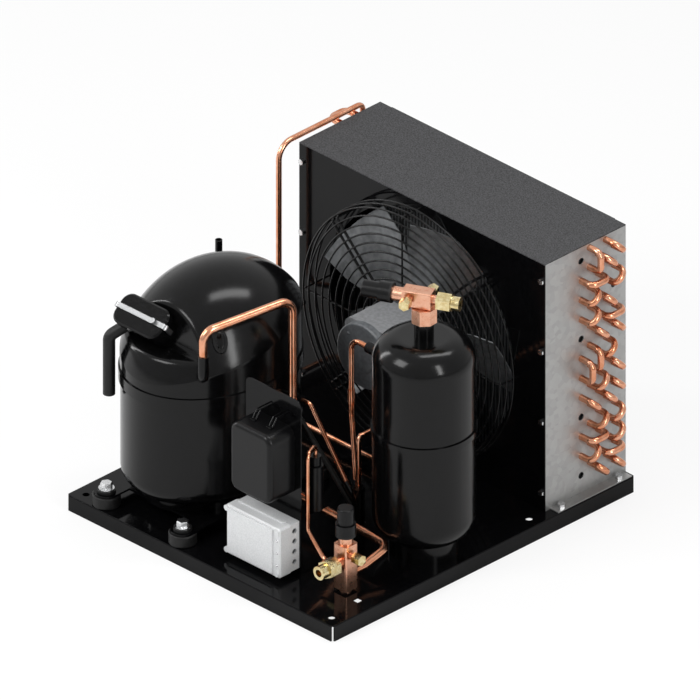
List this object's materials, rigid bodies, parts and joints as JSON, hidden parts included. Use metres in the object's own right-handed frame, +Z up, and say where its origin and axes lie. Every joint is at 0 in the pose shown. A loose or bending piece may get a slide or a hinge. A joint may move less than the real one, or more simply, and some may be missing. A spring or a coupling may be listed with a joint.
{
  "type": "refrigeration condensing unit",
  "caption": "Air-cooled condensing unit: hermetic compressor, finned coil with guarded fan, liquid receiver and service valves on a folded steel tray.",
  "frame": {"origin": "centre of the tray's footprint, on the ground", "axes": "+Z up, +X to the right along the valve edge, +Y back to the coil"},
  "size_m": [0.5286, 0.58, 0.4272],
  "materials": {
    "aluminium": "mill aluminium",
    "black_plastic": "moulded black plastic",
    "brass": "turned brass",
    "copper": "drawn copper",
    "cover": "textured dark grey powder coat",
    "disc_grey": "dark grey enamel",
    "enamel": "gloss black enamel",
    "galvanised": "galvanised steel",
    "grey_plastic": "light grey moulded plastic",
    "iron": "cast iron",
    "motor_grey": "light grey enamel",
    "rubber": "black rubber",
    "steel": "plain steel",
    "valve_copper": "forged copper alloy, satin",
    "zinc": "bright zinc plated steel"
  },
  "bodies": {
    "fan": {"fan_wheel": "aluminium", "motor_rotor": "steel"},
    "crank": {"crankshaft": "steel"},
    "piston": {"piston": "aluminium"},
    "receiver_cap": {"receiver_cap_seal": "rubber", "receiver_stem_cap": "black_plastic"},
    "suction_cap": {"suction_cap_seal": "rubber", "suction_stem_cap": "black_plastic"},
    "receiver_nut": {"receiver_flare_bonnet": "copper", "receiver_flare_nut": "brass"},
    "suction_nut": {"suction_flare_bonnet": "copper", "suction_flare_nut": "brass"},
    "receiver_stem": {"receiver_valve_stem": "steel"},
    "suction_stem": {"suction_valve_stem": "steel"},
    "terminal_lid": {"terminal_box_lid": "grey_plastic"},
    "starter_lid": {"starter_box_lid": "black_plastic"},
    "unit": {"base_tray": "enamel", "cable_elbow": "rubber", "casing_screws": "zinc", "coil_tubes": "copper", "compressor_foot_plate": "enamel", "compressor_lower_shell": "enamel", "compressor_stator": "steel", "compressor_stubs": "enamel", "compressor_upper_shell": "enamel", "condenser_outlet": "copper", "discharge_line": "copper", "electrics_bracket": "enamel", "end_plate_left": "galvanised", "end_plate_right": "galvanised", "fan_guard": "enamel", "fan_panel": "enamel", "filter_drier": "enamel", "fin_block": "aluminium", "foot_bolts": "zinc", "foot_grommets": "rubber", "liquid_lines": "copper", "motor_arms": "enamel", "motor_body": "motor_grey", "motor_cap": "disc_grey", "motor_stator": "steel", "port_caps": "brass", "pressure_switch": "black_plastic", "pressure_tube": "copper", "pump_block": "iron", "receiver_dip_tube": "copper", "receiver_lower_shell": "enamel", "receiver_upper_shell": "enamel", "receiver_valve_body": "valve_copper", "return_bends_left": "copper", "return_bends_right": "copper", "starter_box": "black_plastic", "suction_line": "copper", "suction_valve_body": "valve_copper", "terminal_box": "grey_plastic", "terminal_cover": "black_plastic", "terminal_fence": "enamel", "terminal_strap": "zinc", "top_cover": "cover"}
  },
  "joints": [
    {"name": "fan_spin", "type": "hinge", "parent": "unit", "child": "fan", "pos_m": [0.002, 0.134, 0.217], "axis": [0, 1, 0], "continuous": true},
    {"name": "crank_spin", "type": "hinge", "parent": "unit", "child": "crank", "pos_m": [-0.125, -0.143, 0.124], "axis": [0, 0, 1], "continuous": true},
    {"name": "piston_stroke", "type": "slide", "parent": "unit", "child": "piston", "axis": [0, 1, 0], "range_m": [-0.004, 0.004]},
    {"name": "receiver_cap_off", "type": "slide", "parent": "unit", "child": "receiver_cap", "axis": [-0.8988, -0.4384, 0], "range_m": [0, 0.03]},
    {"name": "suction_cap_off", "type": "slide", "parent": "unit", "child": "suction_cap", "axis": [0, 0, 1], "range_m": [0, 0.03]},
    {"name": "receiver_nut_off", "type": "slide", "parent": "unit", "child": "receiver_nut", "axis": [0.8988, 0.4384, 0], "range_m": [0, 0.03]},
    {"name": "suction_nut_off", "type": "slide", "parent": "unit", "child": "suction_nut", "axis": [0, -1, 0], "range_m": [0, 0.03]},
    {"name": "receiver_stem_turn", "type": "hinge", "parent": "unit", "child": "receiver_stem", "pos_m": [0.189, -0.049, 0.413], "axis": [0.8988, 0.4384, 0], "range_deg": [0, 720]},
    {"name": "suction_stem_turn", "type": "hinge", "parent": "unit", "child": "suction_stem", "pos_m": [0.195, -0.205, 0.124], "axis": [0, 0, -1], "range_deg": [0, 720]},
    {"name": "terminal_lid_off", "type": "slide", "parent": "unit", "child": "terminal_lid", "axis": [0, -1, 0], "range_m": [0, 0.06]},
    {"name": "starter_lid_off", "type": "slide", "parent": "unit", "child": "starter_lid", "axis": [0, -1, 0], "range_m": [0, 0.06]}
  ]
}
